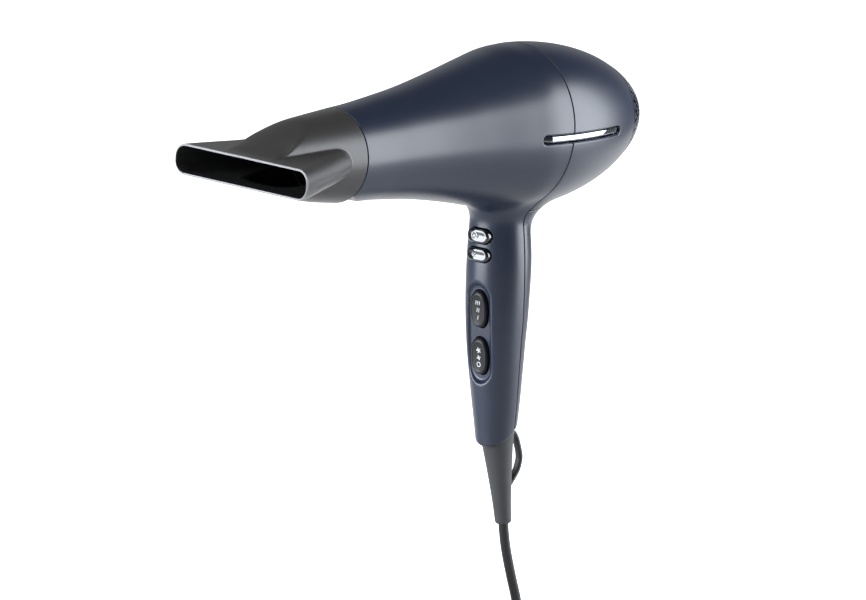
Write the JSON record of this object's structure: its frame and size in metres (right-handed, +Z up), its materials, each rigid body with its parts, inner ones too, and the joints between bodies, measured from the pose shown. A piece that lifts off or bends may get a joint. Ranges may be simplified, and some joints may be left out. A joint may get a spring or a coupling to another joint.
{
  "type": "hair dryer",
  "caption": "Pistol-grip hair dryer with a flat concentrator nozzle, domed rear intake grille, two rockers, two push-buttons and a mains lead with a moulded strain relief.",
  "frame": {"origin": "middle of the grip, on the handle's axis, where a hand holds it", "axes": "+X to the rear along the barrel, +Z up through the barrel, +Y across, to the right seen from behind (looking towards the nozzle)"},
  "size_m": [0.3165, 0.1, 0.5221],
  "materials": {
    "soft_shell": "soft-touch coated, satin",
    "nozzle_plastic": "fine texture, satin",
    "rocker_plastic": "satin",
    "button_plastic": "satin",
    "black_plastic": "moulded",
    "chrome": "polished",
    "steel": "plain",
    "pin_metal": "nickel plated",
    "mica": "layered mica board",
    "cream_plastic": "moulded",
    "copper": "drawn copper",
    "brass": "plain",
    "relief_rubber": "moulded",
    "lead_jacket": "satin"
  },
  "bodies": {
    "dryer": {"main_housing": "soft_shell", "rear_housing": "soft_shell", "handle_back_cover": "soft_shell", "strip_left": "chrome", "strip_right": "chrome", "outlet_ring": "black_plastic", "outlet_guard": "steel", "heat_shield": "mica", "heater_boards": "mica", "heater_coils": "steel", "thermostat": "cream_plastic", "thermal_fuse": "steel", "stator_vanes": "cream_plastic", "motor_field": "steel", "field_windings": "copper", "motor_mount": "cream_plastic", "front_bearing": "brass", "rear_bearing": "brass", "brush_holders": "brass", "ioniser": "black_plastic", "ion_needle": "steel", "switch_carrier": "cream_plastic", "heat_switch": "black_plastic", "speed_switch": "black_plastic", "cool_microswitch": "black_plastic", "boost_microswitch": "black_plastic", "cool_springs": "steel", "boost_springs": "steel", "strain_relief": "relief_rubber", "cord_clamp": "cream_plastic", "inner_leads": "lead_jacket", "screws": "steel", "cord_tube": "lead_jacket", "cord_coil": "lead_jacket", "cord_tail": "lead_jacket", "cord_tie": "lead_jacket", "plug_body": "lead_jacket", "plug_pins": "pin_metal"},
    "rotor_group": {"rotor": "steel", "commutator": "copper", "fan": "black_plastic"},
    "nozzle_clip": {"snap_ring": "black_plastic"},
    "nozzle": {"nozzle": "nozzle_plastic"},
    "grille": {"rear_grille": "soft_shell", "filter_mesh": "steel"},
    "heat_rocker": {"heat_rocker": "rocker_plastic"},
    "speed_rocker": {"speed_rocker": "rocker_plastic"},
    "cool_button": {"cool_button": "button_plastic"},
    "boost_button": {"boost_button": "button_plastic"}
  },
  "joints": [
    {"name": "nozzle_pull", "type": "slide", "parent": "dryer", "child": "nozzle_clip", "axis": [-1, 0, 0], "range_m": [0, 0.03]},
    {"name": "nozzle_turn", "type": "hinge", "parent": "nozzle_clip", "child": "nozzle", "pos_m": [-0.15, 0, 0.1108], "axis": [1, 0, 0], "continuous": true},
    {"name": "grille_pull", "type": "slide", "parent": "dryer", "child": "grille", "axis": [1, 0, 0], "range_m": [0, 0.03]},
    {"name": "heat_tip", "type": "hinge", "parent": "dryer", "child": "heat_rocker", "pos_m": [-0.01541, 0, 0.01165], "axis": [0, 1, 0], "range_deg": [-7, 7]},
    {"name": "speed_tip", "type": "hinge", "parent": "dryer", "child": "speed_rocker", "pos_m": [-0.01135, 0, -0.01585], "axis": [0, 1, 0], "range_deg": [-7, 7]},
    {"name": "cool_press", "type": "slide", "parent": "dryer", "child": "cool_button", "axis": [1, 0, 0], "range_m": [0, 0.002], "stiffness_N_per_m": 400, "springref_m": -0.002, "deforming": ["cool_springs"]},
    {"name": "boost_press", "type": "slide", "parent": "dryer", "child": "boost_button", "axis": [1, 0, 0], "range_m": [0, 0.002], "stiffness_N_per_m": 400, "springref_m": -0.002, "deforming": ["boost_springs"]},
    {"name": "rotor_spin", "type": "hinge", "parent": "dryer", "child": "rotor_group", "pos_m": [0, 0, 0.1154], "axis": [1, 0, 0], "continuous": true}
  ]
}
